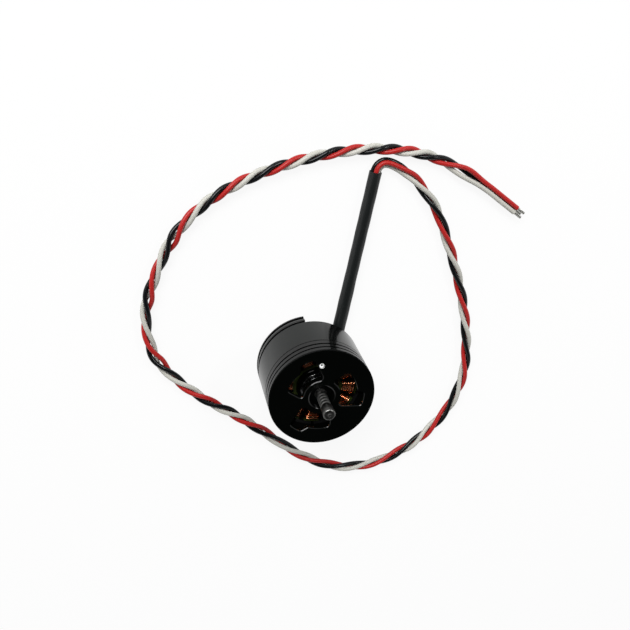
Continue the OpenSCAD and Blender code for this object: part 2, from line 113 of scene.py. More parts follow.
# The shaft, its clip groove and its end; the end's points go inwards and down, in millimetres
SHAFT_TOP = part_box("shaft")[1].z
SHAFT_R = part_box("shaft")[1].x
SHAFT_CHAMFER = 0.3 * MM
CLIP_GROOVE_UP = 0.48 * MM
CLIP_GROOVE_W = 0.42 * MM
CLIP_GROOVE_DEPTH = 0.35 * MM
SHOULDER = 0.12 * MM
END_ROUND = [(0, 0.3), (0.07, 0.17), (0.17, 0.07), (0.3, 0)]
DIMPLE = [(0.5, 0), (0.42, 0.06), (0.08, 0.1), (0, 0.1)]

# The thread: heights on its ridge as shares of the pitch
RIDGE_SHARES = (0, 0.22, 0.3, 0.38, 0.6)
RIDGE_ROUND = 0.03 * MM
RIDGE_ROOT = 0.05 * MM
THREAD_END = 0.15 * MM
CORE_STEP = 0.02 * MM
TURN_STEPS = 48

# The bell's face, its hub, and its balancing pit with the pit's bright metal and painted shade
FACE_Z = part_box("bell_cap")[1].z
HUB_Z = FACE_Z - 1.9 * MM
BALANCE_ANGLE = math.radians(96.3)
BALANCE_R = 9.35
BALANCE_AT = Vector((math.cos(BALANCE_ANGLE), math.sin(BALANCE_ANGLE))) * BALANCE_R * MM
BALANCE_CLEAR = 0.8 * MM
SPOT_PROFILE = [(0.74, -0.03), (0.74, -0.26), (0.27, -0.468), (0.2, -0.5), (0, -0.6)]
# painted shade: out to this radius the pit's middle takes the duller black
SPOT_SHADE_R = 0.27 * MM
WINDOWS_FROM_R = 4.5 * MM
WINDOWS_TO_R = 12.5 * MM
RIM_W = 0.8 * MM
GROOVE_DEPTH = 0.1 * MM
GROOVES_DOWN = 0.2 * MM
RIM_DOWN = 0.02 * MM
FACE_SLACK = 0.01 * MM

FLUX_WALL = 1.15 * MM
FLUX_EDGE = 0.03 * MM

# The coils, in millimetres; the outer layer of wire ends at the step's radius
TEETH = 12
TEETH_TURN = -3
TOOTH_HALF = 1.05
COIL_GAP = 0.04
COIL_IN_R = 6.62
COIL_OUT_R = 10.05
COIL_STEP_R = 8.6
LAYER_SHARE = 0.98
COIL_CORNER = 0.45
LAYER_CORNER = 0.85
CORNER_STEPS = 4
CROSS_FROM = 0.55
CROSS_LENGTH = 0.4

RACE_BEVEL = 0.12 * MM
SHIELD_BEVEL = 0.06 * MM
LAMINATION_SCALE = 3000 / 6.28
LAMINATION_DEPTH = 0.04 * MM

# Copies of solids: points nearer than this are one, and edges sharper than this are bevelled
SAME_POINT = 1e-6
SHARP = math.radians(35)
LEVEL = 0.9999

# The studio
FLOOR_HALF = 4
FLOOR_Z = -0.02 * MM
FLOOR_GLOW = 0.9
SKY_WHITE_TO = 0.45
SKY_DARK_FROM = 0.7
SKY_DARK = 0.02
# Name, place, size and power of each lamp
LAMPS = [
    ("softbox", (-0.3, 0.6, 0.555), (0.69, 0.33), 9.8),
    ("spot", (0.28, 0.24, 0.38), (0.09, 0.09), 0.7),
]


class MotorSizes(bpy.types.PropertyGroup):
    """Sizes of the details that the solids leave out"""

    thread_pitch: FloatProperty(
        name="Thread pitch", description="Rise of the shaft's thread in one turn",
        default=1.25 * MM, unit="LENGTH", precision=5)
    thread_d: FloatProperty(
        name="Thread", description="Outside diameter of the shaft's thread",
        default=2.94 * MM, unit="LENGTH", precision=5)
    thread_depth: FloatProperty(
        name="Thread depth", description="Depth of the shaft's thread",
        default=0.18 * MM, unit="LENGTH", precision=5)
    plain_end: FloatProperty(
        name="Plain end", description="Length of the shaft's plain end above the thread",
        default=3.2 * MM, unit="LENGTH", precision=5)
    wire_d: FloatProperty(
        name="Coil wire", description="Diameter of the enamelled wire of the coils",
        default=0.5 * MM, unit="LENGTH", precision=5)
    lead_d: FloatProperty(
        name="Lead", description="Diameter of one insulated lead",
        default=1.25 * MM, unit="LENGTH", precision=5)
    sleeve_wall: FloatProperty(
        name="Sleeve wall", description="Wall of the heat-shrink sleeve",
        default=0.12 * MM, unit="LENGTH", precision=5)
    edge_bevel: FloatProperty(
        name="Edge bevel", description="Width of the small chamfers on the turned parts",
        default=0.04 * MM, unit="LENGTH", precision=5)
    window_bevel: FloatProperty(
        name="Window bevel", description="Width of the chamfer on the windows' upper edges",
        default=0.14 * MM, unit="LENGTH", precision=5)
    tip_strands: IntProperty(
        name="Tip strands", description="Strands that show in a tinned tip", default=7)


def colour(name, words, value):
    return FloatVectorProperty(
        name=name, description=words, default=value, subtype="COLOR", min=0, max=1)


class MotorColours(bpy.types.PropertyGroup):
    """Colours of the finishes"""

    anodised: colour("Anodised black", "Bell cap and base", (0.0005, 0.0008, 0.0006))
    steel: colour("Flux ring", "Satin steel of the flux ring", (0.028, 0.03, 0.029))
    shaft: colour("Shaft", "Blackened steel of the shaft", (0.12, 0.12, 0.115))
    cut_metal: colour("Cut aluminium", "Metal in the balancing pit", (0.9, 0.91, 0.9))
    copper: colour("Copper", "Enamelled copper wire", (0.85, 0.36, 0.18))
    insulation: colour("Insulation", "Green end plates", (0.026, 0.039, 0.007))
    laminations: colour("Laminations", "Stator core", (0.018, 0.018, 0.017))
    magnet: colour("Magnets", "Coating of the magnets", (0.006, 0.006, 0.0063))
    bearing: colour("Bearings", "Polished steel of the bearings", (0.6, 0.61, 0.61))
    brass: colour("Cages", "Brass of the bearings' cages", (0.55, 0.36, 0.1))
    sleeve: colour("Sleeve", "Heat-shrink sleeve", (0.0062, 0.0074, 0.0074))
    red: colour("Red lead", "Silicone of the first lead", (0.31, 0.0125, 0.0112))
    white: colour("White lead", "Silicone of the second lead", (0.385, 0.38, 0.345))
    black: colour("Black lead", "Silicone of the third lead", (0.003, 0.0035, 0.004))
    tin: colour("Tin", "Tinned tips of the leads", (0.45, 0.45, 0.42))
    floor: colour("Floor", "Studio floor", (0.7, 0.7, 0.7))


# Helpers for meshes

def sizes():
    return bpy.context.scene.motor_sizes


def colours():
    return bpy.context.scene.motor_colours


def rgba(value):
    return (*value, 1.0)


def put_in_scene(obj, body, slot, *nodes):
    bpy.context.scene.collection.objects.link(obj)
    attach(obj, body)
    if nodes:
        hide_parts(*nodes)
    return obj


def piece_from(bm, name, material, body, slot, *nodes, smooth=40):
    """Makes the bmesh one finished piece; faces that meet at less than the angle shade smoothly."""
    mesh = bpy.data.meshes.new(name)
    for face in bm.faces:
        face.smooth = abs(face.normal.z) < LEVEL
    limit = math.radians(smooth)
    for edge in bm.edges:
        edge.smooth = len(edge.link_faces) == 2 and edge.calc_face_angle(0) < limit
    bm.to_mesh(mesh)
    bm.free()
    mesh.materials.append(material)
    return put_in_scene(bpy.data.objects.new(name, mesh), body, slot, *nodes)


def profile_edges(bm, points, closed=False):
    """Edges through the points (radius, height), in the plane of X and Z."""
    verts = [bm.verts.new((r, 0, z)) for r, z in points]
    pairs = list(zip(verts, verts[1:]))
    if closed:
        pairs.append((verts[-1], verts[0]))
    return verts, [bm.edges.new(pair) for pair in pairs]


def spin_full(bm, verts, edges, steps):
    bmesh.ops.spin(
        bm, geom=verts + edges, cent=(0, 0, 0), axis=(0, 0, 1), dvec=(0, 0, 0),
        angle=math.tau, steps=steps, use_merge=True, use_duplicate=False)
    bmesh.ops.remove_doubles(bm, verts=bm.verts, dist=SAME_POINT / 10)
    bmesh.ops.recalc_face_normals(bm, faces=bm.faces)


def ring_edges(bm, radius, segments, place=Matrix()):
    """The edges of a new circle."""
    ring = bmesh.ops.create_circle(
        bm, cap_ends=False, segments=segments, radius=radius, matrix=place)["verts"]
    return list({edge for vert in ring for edge in vert.link_edges})


def draw_up(bm, edges, length, steps, twist=0.0):
    """Extrudes the edges along Z in equal steps, turns each step a little, returns the last."""
    for _ in range(steps):
        made = bmesh.ops.extrude_edge_only(bm, edges=edges)["geom"]
        verts = [g for g in made if isinstance(g, bmesh.types.BMVert)]
        edges = [g for g in made if isinstance(g, bmesh.types.BMEdge)]
        bmesh.ops.translate(bm, verts=verts, vec=(0, 0, length / steps))
        if twist:
            bmesh.ops.rotate(
                bm, verts=verts, cent=(0, 0, 0), matrix=Matrix.Rotation(twist, 3, "Z"))
    return edges


def sharp_edges(bm):
    return [e for e in bm.edges if len(e.link_faces) == 2 and e.calc_face_angle(0) > SHARP]


def bevel(bm, edges, width, segments):
    bmesh.ops.bevel(
        bm, geom=edges, offset=width, offset_type="OFFSET", affect="EDGES", segments=segments,
        profile=0.5, material=-1, clamp_overlap=True)


def merged_copy(name):
    """A copy of a CAD node with its loose triangles merged and its flat faces joined."""
    bm = bmesh.new()
    bm.from_mesh(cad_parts[name].data)
    bmesh.ops.remove_doubles(bm, verts=bm.verts, dist=SAME_POINT)
    bmesh.ops.dissolve_limit(
        bm, angle_limit=math.radians(0.5), verts=bm.verts, edges=bm.edges, delimit=set())
    return bm


def bevelled_copy(name, width, segments=2):
    bm = merged_copy(name)
    bevel(bm, sharp_edges(bm), width, segments)
    return bm


# Helpers for materials

def set_inputs(made, values):
    for name, value in values.items():
        made.inputs[name].default_value = value


def join(tree, *pairs):
    for output, socket in pairs:
        tree.links.new(output, socket)


def new_material(name, base, rough, metallic=0.0, specular=0.5):
    material = bpy.data.materials.new(name)
    material.use_nodes = True
    shader = material.node_tree.nodes["Principled BSDF"]
    set_inputs(shader, {
        "Base Color": rgba(base), "Roughness": rough, "Metallic": metallic,
        "Specular IOR Level": specular})
    return material, material.node_tree, shader


def node(tree, kind, **values):
    made = tree.nodes.new(kind)
    for key, value in values.items():
        setattr(made, key, value)
    return made


def surface_group():
    """Fine wear: mottles a colour, scatters the roughness and gives a height for bump."""
    group = bpy.data.node_groups.get("surface_wear")
    if group:
        return group
    group = bpy.data.node_groups.new("surface_wear", "ShaderNodeTree")
    for name, side, kind in (
            ("Colour", "INPUT", "Color"), ("Mottle", "INPUT", "Float"),
            ("Roughness", "INPUT", "Float"), ("Scatter", "INPUT", "Float"),
            ("Scale", "INPUT", "Float"), ("Stretch", "INPUT", "Vector"),
            ("Colour", "OUTPUT", "Color"), ("Roughness", "OUTPUT", "Float"),
            ("Height", "OUTPUT", "Float")):
        group.interface.new_socket(name, in_out=side, socket_type=f"NodeSocket{kind}")
    source = node(group, "NodeGroupInput")
    sink = node(group, "NodeGroupOutput")
    place = node(group, "ShaderNodeTexCoord")
    mapping = node(group, "ShaderNodeMapping")
    noise = node(group, "ShaderNodeTexNoise")
    set_inputs(noise, {"Detail": 6, "Roughness": 0.6})
    centred = node(group, "ShaderNodeMath", operation="SUBTRACT")
    centred.inputs[1].default_value = 0.5
    amount = node(group, "ShaderNodeMath", operation="MULTIPLY")
    value = node(group, "ShaderNodeMath", operation="ADD")
    value.inputs[1].default_value = 1.0
    tint = node(group, "ShaderNodeHueSaturation")
    scatter = node(group, "ShaderNodeMath", operation="MULTIPLY_ADD")
    join(
        group,
        (place.outputs["Object"], mapping.inputs["Vector"]),
        (source.outputs["Stretch"], mapping.inputs["Scale"]),
        (mapping.outputs["Vector"], noise.inputs["Vector"]),
        (source.outputs["Scale"], noise.inputs["Scale"]),
        (noise.outputs["Fac"], centred.inputs[0]),
        (centred.outputs[0], amount.inputs[0]),
        (source.outputs["Mottle"], amount.inputs[1]),
        (amount.outputs[0], value.inputs[0]),
        (value.outputs[0], tint.inputs["Value"]),
        (source.outputs["Colour"], tint.inputs["Color"]),
        (centred.outputs[0], scatter.inputs[0]),
        (source.outputs["Scatter"], scatter.inputs[1]),
        (source.outputs["Roughness"], scatter.inputs[2]),
        (tint.outputs["Color"], sink.inputs["Colour"]),
        (scatter.outputs[0], sink.inputs["Roughness"]),
        (noise.outputs["Fac"], sink.inputs["Height"]))
    return group


def worn(name, base, rough, metallic=0.0, specular=0.5, mottle=0.2, scatter=0.1, scale=900.0,
         stretch=(1, 1, 1), bump=0.0, depth=0.02 * MM):
    """A finish whose colour and roughness vary over the surface."""
    material, tree, shader = new_material(name, base, rough, metallic, specular)
    wear = node(tree, "ShaderNodeGroup", node_tree=surface_group())
    set_inputs(wear, {
        "Colour": rgba(base), "Mottle": mottle, "Roughness": rough, "Scatter": scatter,
        "Scale": scale, "Stretch": stretch})
    join(
        tree,
        (wear.outputs["Colour"], shader.inputs["Base Color"]),
        (wear.outputs["Roughness"], shader.inputs["Roughness"]))
    if bump:
        raise_surface(tree, wear.outputs["Height"], shader, bump, depth)
    return material


def raise_surface(tree, height, shader, strength, depth):
    raised = node(tree, "ShaderNodeBump")
    set_inputs(raised, {"Strength": strength, "Distance": depth})
    join(
        tree,
        (height, raised.inputs["Height"]),
        (raised.outputs["Normal"], shader.inputs["Normal"]))


def dress(name, material):
    """Gives a carried-over CAD node its finish."""
    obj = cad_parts[name]
    obj.data.materials.clear()
    obj.data.materials.append(material)


# The cable

def spline_point(a, b, c, d, t):
    return (b * 2 + (c - a) * t + (a * 2 - b * 5 + c * 4 - d) * t * t
            + (b * 3 - a - c * 3 + d) * t ** 3) / 2


def cable_line():
    """The cable's middle in millimetres: distance from the sleeve's mouth, place and heading."""
    route = [Vector(p) for p in ROUTE]
    last = len(route) - 1
    dense = [Vector(SLEEVE_START), Vector(SLEEVE_END)]
    for i in range(last):
        a, b, c, d = (route[min(max(k, 0), last)] for k in (i - 1, i, i + 1, i + 2))
        dense += [
            spline_point(a, b, c, d, k / CURVE_STEPS) for k in range(1, CURVE_STEPS + 1)]
    dense.append(route[-1] + Vector(END_RUN))
    lengths = [0.0]
    for a, b in zip(dense, dense[1:]):
        lengths.append(lengths[-1] + (b - a).length)
    count = round(lengths[-1] / CABLE_STEP)
    mouth = lengths[1]
    points, k = [], 0
    for i in range(count + 1):
        s = lengths[-1] * i / count
        while k < len(dense) - 2 and lengths[k + 1] < s:
            k += 1
        t = (s - lengths[k]) / (lengths[k + 1] - lengths[k])
        points.append((s - mouth, dense[k].lerp(dense[k + 1], t)))
    line = []
    for i, (s, p) in enumerate(points):
        ahead = points[min(i + 1, len(points) - 1)][1] - points[max(i - 1, 0)][1]
        line.append((s, p, ahead.normalized()))
    return line


def red_angle(s):
    """Where red lies round the cable's middle at that distance, in radians; half of pi is on top."""
    marks = [(at, 90 - 360 / LEADS * count) for at, count in LAY]
    total = 0.0
    for k in range(LAY_SAMPLES):
        at = s + (k / (LAY_SAMPLES - 1) - 0.5) * LAY_EASE
        for (s0, a0), (s1, a1) in zip(marks, marks[1:]):
            if at <= s1 or s1 == marks[-1][0]:
                total += a0 + (a1 - a0) * min(max((at - s0) / (s1 - s0), 0), 1)
                break
    return math.radians(total / LAY_SAMPLES)


def lead_path(k):
    """The middle of lead k from the sleeve's inner end to where its insulation stops, in metres."""
    path = []
    for s, p, h in cable_line():
        turn = red_angle(s) + math.tau * k / LEADS
        side = Vector((-h.y, h.x))
        room = sum(more * math.exp(-((s - mid) / reach) ** 2) for mid, more, reach in LOOSE)
        at = p + side * math.cos(turn) * (NEST_R + room)
        path.append(Vector((at.x * MM, at.y * MM, CABLE_Z + math.sin(turn) * NEST_R * MM)))
    return path


def curve_piece(name, paths, diameter, material, sides):
    data = bpy.data.curves.new(name, "CURVE")
    data.dimensions = "3D"
    data.bevel_depth = diameter / 2
    data.bevel_resolution = sides
    data.use_fill_caps = True
    for path in paths:
        spline = data.splines.new("POLY")
        spline.points.add(len(path) - 1)
        for point, at in zip(spline.points, path):
            point.co = (*at, 1)
        spline.use_smooth = True
    data.materials.append(material)
    return bpy.data.objects.new(name, data)


class MOTOR_OT_camera(bpy.types.Operator):
    """Sets the camera that looks down on the motor from in front of the cable's side"""

    bl_idname = "motor.camera"
    bl_label = "Camera"

    def execute(self, context):
        camera = bpy.data.cameras.new("camera")
        camera.sensor_width = CAMERA_SENSOR
        camera.lens = CAMERA_LENS
        camera.clip_start = CAMERA_NEAR
        obj = bpy.data.objects.new("camera", camera)
        right = Vector(CAMERA_RIGHT).normalized()
        back = Vector(CAMERA_BACK).normalized()
        up = back.cross(right).normalized()
        right = up.cross(back)
        turn = Matrix((right, up, back)).transposed().to_4x4()
        obj.matrix_world = Matrix.Translation(Vector(CAMERA_AT) * MM) @ turn
        context.scene.collection.objects.link(obj)
        context.scene.camera = obj
        return {"FINISHED"}


class MOTOR_OT_cable(bpy.types.Operator):
    """Lays the three leads with their tinned tips and the sleeve round them"""

    bl_idname = "motor.cable"
    bl_label = "Cable"

    def execute(self, context):
        size, tint = sizes(), colours()
        tin = worn("tinned_strands", tint.tin, 0.35, metallic=1.0, mottle=0.3, scale=3000,
                   bump=0.3)
        sleeve = self.make_sleeve(worn(
            "heat_shrink", tint.sleeve, 0.36, specular=0.3, mottle=0.25, scatter=0.15, scale=700,
            stretch=(1, 0.25, 1), bump=0.35, depth=0.05 * MM))
        finishes = [
            ("red", tint.red, 0.36), ("white", tint.white, 0.36), ("black", tint.black, 0.2)]
        for k, (name, base, rough) in enumerate(finishes):
            silicone = worn(
                f"{name}_silicone", base, rough, specular=0.22, mottle=0.08, scatter=0.08,
                scale=1200)
            path = lead_path(k)
            tip = self.make_tip(f"{name}_tip", path, tin)
            lead = put_in_scene(
                curve_piece(f"{name}_lead", [path], size.lead_d, silicone, sides=6),
                "base", f"{name}_rubber", "lead_bundle", f"{name}_lead_end")
        return {"FINISHED"}

    def make_tip(self, name, path, tin):
        """Short bare strands, twisted and tinned."""
        along = (path[-1] - path[-2]).normalized()
        turn = along.to_track_quat("Z", "Y").to_matrix()
        bm = bmesh.new()
        strands = sizes().tip_strands
        for k in range(strands):
            spot = Vector((STRAND_RING_R, 0, 0)) if k else Vector((0, 0, 0))
            place = (Matrix.Rotation(math.tau * k / (strands - 1), 4, "Z")
                     @ Matrix.Translation(spot))
            first = ring_edges(bm, STRAND_R, STRAND_SIDES, place)
            last = draw_up(bm, first, TIP_L, TIP_STEPS, TIP_TWIST)
            bmesh.ops.contextual_create(bm, geom=last)
            bmesh.ops.contextual_create(bm, geom=first)
        bmesh.ops.recalc_face_normals(bm, faces=bm.faces)
        bmesh.ops.transform(
            bm, matrix=Matrix.Translation(path[-1]) @ turn.to_4x4(), verts=bm.verts)
        return piece_from(bm, name, tin, "base", "tinned_copper", "tinned_tips", smooth=50)

    def make_sleeve(self, material):
        """A thin tube that follows the leads inside it a little, open at both ends."""
        start = Vector((*SLEEVE_START, 0)) * MM
        end = Vector((*SLEEVE_END, 0)) * MM
        along = (end - start).normalized()
        length = (end - start).length
        outer = (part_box("heat_shrink_sleeve")[1].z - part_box("heat_shrink_sleeve")[0].z) / 2
        bm = bmesh.new()
        draw_up(bm, ring_edges(bm, outer, SLEEVE_SIDES), length, SLEEVE_STEPS)
        for vert in bm.verts:
            s = (vert.co.z - length) / MM
            angle = math.atan2(vert.co.y, vert.co.x)
            lobe = math.cos(LEADS * (angle - red_angle(s)))
            vert.co.xy *= 1 - SLEEVE_SINK * (1 - lobe)
            # near the motor the sleeve lies a little flattened, so wider
            vert.co.x *= SLEEVE_WIDER + FLAT_WIDER / (1 + math.exp((s + FLAT_FROM) / FLAT_EASE))
        bmesh.ops.recalc_face_normals(bm, faces=bm.faces)
        bmesh.ops.solidify(bm, geom=bm.faces[:], thickness=sizes().sleeve_wall)
        side = Vector((-along.y, along.x, 0))
        turn = Matrix((side, Vector((0, 0, 1)), along)).transposed().to_4x4()
        place = Matrix.Translation(start + Vector((0, 0, CABLE_Z))) @ turn
        bmesh.ops.transform(bm, matrix=place, verts=bm.verts)
        bmesh.ops.recalc_face_normals(bm, faces=bm.faces)
        return piece_from(
            bm, "cable_sleeve", material, "base", "grey_heat_shrink", "heat_shrink_sleeve")


class MOTOR_OT_shaft(bpy.types.Operator):
    """Turns the shaft with its thread, plain end and centre dimple"""

    bl_idname = "motor.shaft"
    bl_label = "Shaft"

    def execute(self, context):
        size = sizes()
        r = SHAFT_R
        low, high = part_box("shaft")[0].z, SHAFT_TOP
        root = size.thread_d / 2 - size.thread_depth
        thread_high = high - size.plain_end
        core_high = thread_high + CORE_STEP
        groove = low + CLIP_GROOVE_UP
        body = [
            (0, low), (r - SHAFT_CHAMFER, low), (r, low + SHAFT_CHAMFER), (r, groove),
            (r - CLIP_GROOVE_DEPTH, groove), (r - CLIP_GROOVE_DEPTH, groove + CLIP_GROOVE_W),
            (r, groove + CLIP_GROOVE_W), (r, HUB_Z), (root, HUB_Z + CORE_STEP),
            (root, core_high), (r - SHOULDER, core_high), (r, core_high + SHOULDER),
        ]
        body += [(r - inwards * MM, high - down * MM) for inwards, down in END_ROUND]
        body += [(out * MM, high - down * MM) for out, down in DIMPLE]
        bm = bmesh.new()
        spin_full(bm, *profile_edges(bm, body), steps=96)
        self.add_thread(bm, root, HUB_Z + THREAD_END, thread_high - THREAD_END)
        steel = worn("shaft_steel", colours().shaft, 0.3, metallic=1.0, mottle=0.3,
                     scatter=0.15, scale=1500, stretch=(1, 1, 0.3))
        piece_from(bm, "threaded_shaft", steel, "rotor", "dark_steel", "shaft", smooth=35)
        return {"FINISHED"}

    def add_thread(self, bm, root, low, high):
        """A ridge swept round the core; its flanks reach just into the core."""
        size = sizes()
        crest = size.thread_d / 2
        sunk = root - RIDGE_ROOT
        radii = (sunk, crest - RIDGE_ROUND, crest, crest - RIDGE_ROUND, sunk)
        points = [(r, low + size.thread_pitch * share) for r, share in zip(radii, RIDGE_SHARES)]
        verts, edges = profile_edges(bm, points)
        turns = (high - low) / size.thread_pitch - RIDGE_SHARES[-1]
        steps = round(TURN_STEPS * turns)
        bmesh.ops.spin(
            bm, geom=verts + edges, cent=(0, 0, 0), axis=(0, 0, 1),
            dvec=(0, 0, size.thread_pitch * turns / steps), angle=math.tau * turns,
            steps=steps, use_merge=False, use_duplicate=False)


class MOTOR_OT_windings(bpy.types.Operator):
    """Winds the coils of round enamelled wire round the teeth"""

    bl_idname = "motor.windings"
    bl_label = "Windings"

    def execute(self, context):
        wire = sizes().wire_d / MM
        core_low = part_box("rear_insulator")[0].z / MM
        core_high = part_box("front_insulator")[1].z / MM
        half = TOOTH_HALF + wire / 2
        low, high = core_low - wire / 2 - COIL_GAP, core_high + wire / 2 + COIL_GAP
        out = COIL_OUT_R - wire / 2
        rise = wire * LAYER_SHARE
        paths = []
        for tooth in range(TEETH):
            path = self.layer(COIL_IN_R + wire / 2, out, half, low, high, COIL_CORNER)
            path += self.layer(
                out, COIL_STEP_R, half + rise, low - rise, high + rise, LAYER_CORNER)
            turn = Matrix.Rotation(math.radians(TEETH_TURN + 360 / TEETH * tooth), 4, "Z")
            paths.append([turn @ (p * MM) for p in path])
        copper = worn("enamelled_copper", colours().copper, 0.22, metallic=1.0, mottle=0.35,
                      scatter=0.15, scale=1600)
        put_in_scene(
            curve_piece("copper_coils", paths, sizes().wire_d, copper, sides=2),
            "base", "enamelled_copper", "windings")
        return {"FINISHED"}

    def layer(self, start, stop, half, low, high, corner):
        """One layer of turns round a tooth along X, closely laid from start to stop."""
        turns = max(round(abs(stop - start) / (sizes().wire_d / MM)), 1)
        corners = [(half, low), (half, high), (-half, high), (-half, low)]
        loop = []
        for (y, z), first in zip(corners, (-90, 0, 90, 180)):
            middle_y = y - math.copysign(corner, y)
            middle_z = z - math.copysign(corner, z - (low + high) / 2)
            for k in range(CORNER_STEPS + 1):
                a = math.radians(first + 90 / CORNER_STEPS * k)
                loop.append((middle_y + corner * math.cos(a), middle_z + corner * math.sin(a)))
        path = []
        for i in range(turns * len(loop) + 1):
            y, z = loop[i % len(loop)]
            part = i % len(loop) / len(loop)
            # the wire steps over to the next turn on the far end of each loop
            crossed = min(max((part - CROSS_FROM) / CROSS_LENGTH, 0), 1)
            step = (i // len(loop) + crossed) / turns
            path.append(Vector((start + (stop - start) * min(step, 1), y, z)))
        return path


class MOTOR_OT_bell(bpy.types.Operator):
    """Finishes the bell: the windowed cap, its bright balancing spot and the flux ring"""

    bl_idname = "motor.bell"
    bl_label = "Bell"

    def execute(self, context):
        tint = colours()
        black = worn("anodised_black", tint.anodised, 0.15, specular=0.25, mottle=0.4,
                     scatter=0.06, scale=1500)
        # painted shade: a duller black that darkens the grooves, the rim's chamfer and the pit's
        # middle
        shade_black = worn("painted_shade_black", tint.anodised, 0.5, specular=0.05, mottle=0.4, scale=1500)
        self.windowed_cap(black, shade_black)
        self.balance_spot(shade_black)
        self.flux_ring()
        dress("magnets", worn("magnet_coating", tint.magnet, 0.4, specular=0.2, mottle=0.3))
        return {"FINISHED"}

    def windowed_cap(self, black, shade_black):
        """The turned cap: wide chamfers on its windows, small ones elsewhere; grooves and rim in
        painted shade.
        """
        size = sizes()
        bm = merged_copy("bell_cap")
        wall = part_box("bell_cap")[1].x
        rims, others = [], []
        for edge in sharp_edges(bm):
            spots = [vert.co for vert in edge.verts]
            if (spots[0].xy - BALANCE_AT).length < BALANCE_CLEAR:
                continue
            on_face = all(spot.z > FACE_Z - FACE_SLACK for spot in spots)
            radius = max(spot.xy.length for spot in spots)
            if on_face and WINDOWS_FROM_R < radius < WINDOWS_TO_R:
                rims.append(edge)
            elif radius < wall - RIM_W:
                others.append(edge)
        bevel(bm, rims, size.window_bevel, 1)
        bevel(bm, [edge for edge in others if edge.is_valid], size.edge_bevel, 2)
        # painted shade: the grooves and the rim's chamfer take the duller black and show no
        # highlight
        for face in bm.faces:
            at = face.calc_center_median()
            groove = at.z < FACE_Z - GROOVES_DOWN and at.xy.length < wall - GROOVE_DEPTH
            rim = at.z < FACE_Z - RIM_DOWN and abs(face.normal.z) > 0.2
            if at.xy.length > wall - RIM_W and (groove or rim):
                face.material_index = 1
        cap = piece_from(
            bm, "windowed_cap", black, "rotor", "black_anodised", "bell_cap", smooth=30)
        cap.data.materials.append(shade_black)

    def balance_spot(self, shade_black):
        """The bright metal in the balancing pit, just above its floor, with its middle in painted
        shade.
        """
        raw = worn("cut_aluminium", colours().cut_metal, 0.5, metallic=1.0, mottle=0.1,
                   scale=2500, bump=0.3)
        bm = bmesh.new()
        profile = [(r * MM, z * MM) for r, z in SPOT_PROFILE]
        spin_full(bm, *profile_edges(bm, profile), steps=48)
        # painted shade: the faces round the pit's point take the duller black
        for face in bm.faces:
            face.material_index = face.calc_center_median().xy.length < SPOT_SHADE_R
        bmesh.ops.translate(bm, verts=bm.verts, vec=(*BALANCE_AT, FACE_Z))
        for face in bm.faces:
            if face.normal.z < 0:
                face.normal_flip()
        spot = piece_from(bm, "balance_spot", raw, "rotor", "black_anodised", smooth=30)
        spot.data.materials.append(shade_black)

    def flux_ring(self):
        steel = worn("satin_steel", colours().steel, 0.15, metallic=1.0, mottle=0.12,
                     scatter=0.05, scale=1200, stretch=(1, 1, 0.2), bump=0.08)
        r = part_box("flux_ring")[1].x
        low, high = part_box("flux_ring")[0].z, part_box("flux_ring")[1].z
        inner = r - FLUX_WALL
        bm = bmesh.new()
        verts, edges = profile_edges(
            bm, [(inner, low), (r - FLUX_EDGE, low), (r, low + FLUX_EDGE), (r, high),
                 (inner, high)], closed=True)
        spin_full(bm, verts, edges, steps=192)
        piece_from(bm, "steel_flux_ring", steel, "rotor", "satin_steel", "flux_ring", smooth=30)


class MOTOR_OT_base(bpy.types.Operator):
    """Finishes the base with its ring, arms and bearing tube"""

    bl_idname = "motor.base"
    bl_label = "Base"

    def execute(self, context):
        black = bpy.data.materials["anodised_black"]
        piece_from(bevelled_copy("mount_base", sizes().edge_bevel), "arm_base", black, "base",
                   "black_anodised", "mount_base", smooth=30)
        return {"FINISHED"}


class MOTOR_OT_stator(bpy.types.Operator):
    """Finishes the laminated core, its insulators and the tails of the coils"""

    bl_idname = "motor.stator"
    bl_label = "Stator"

    def execute(self, context):
        tint = colours()
        material, tree, shader = new_material("laminations", tint.laminations, 0.45, 1.0)
        place = node(tree, "ShaderNodeTexCoord")
        lines = node(tree, "ShaderNodeTexWave", bands_direction="Z")
        set_inputs(lines, {"Scale": LAMINATION_SCALE})
        join(tree, (place.outputs["Object"], lines.inputs["Vector"]))
        raise_surface(tree, lines.outputs["Fac"], shader, 0.5, LAMINATION_DEPTH)
        dress("stator_core", material)
        green = worn("green_varnish", tint.insulation, 0.3, mottle=0.4, scale=1500, bump=0.2)
        dress("front_insulator", green)
        dress("rear_insulator", green)
        dress("phase_wires", bpy.data.materials["enamelled_copper"])
        return {"FINISHED"}


class MOTOR_OT_bearings(bpy.types.Operator):
    """Finishes the bearings, the washer and the clip"""

    bl_idname = "motor.bearings"
    bl_label = "Bearings"

    def execute(self, context):
        tint = colours()
        polished = worn("polished_steel", tint.bearing, 0.16, metallic=1.0, mottle=0.08,
                        scatter=0.06, scale=1500)
        brass = worn("cage_brass", tint.brass, 0.35, metallic=1.0, scale=1500)
        for end in ("front", "rear"):
            self.bevelled(f"{end}_bearing_outer", RACE_BEVEL, f"{end}_race", polished)
            for part in ("inner", "balls"):
                dress(f"{end}_bearing_{part}", polished)
            dress(f"{end}_bearing_cage", brass)
        self.bevelled("bearing_shields", SHIELD_BEVEL, "shields", polished)
        dress("spacer_washer", polished)
        dress("retaining_clip", bpy.data.materials["shaft_steel"])
        return {"FINISHED"}

    def bevelled(self, name, width, piece, material):
        piece_from(bevelled_copy(name, width, segments=1), piece, material, "base",
                   "bearing_steel", name, smooth=30)


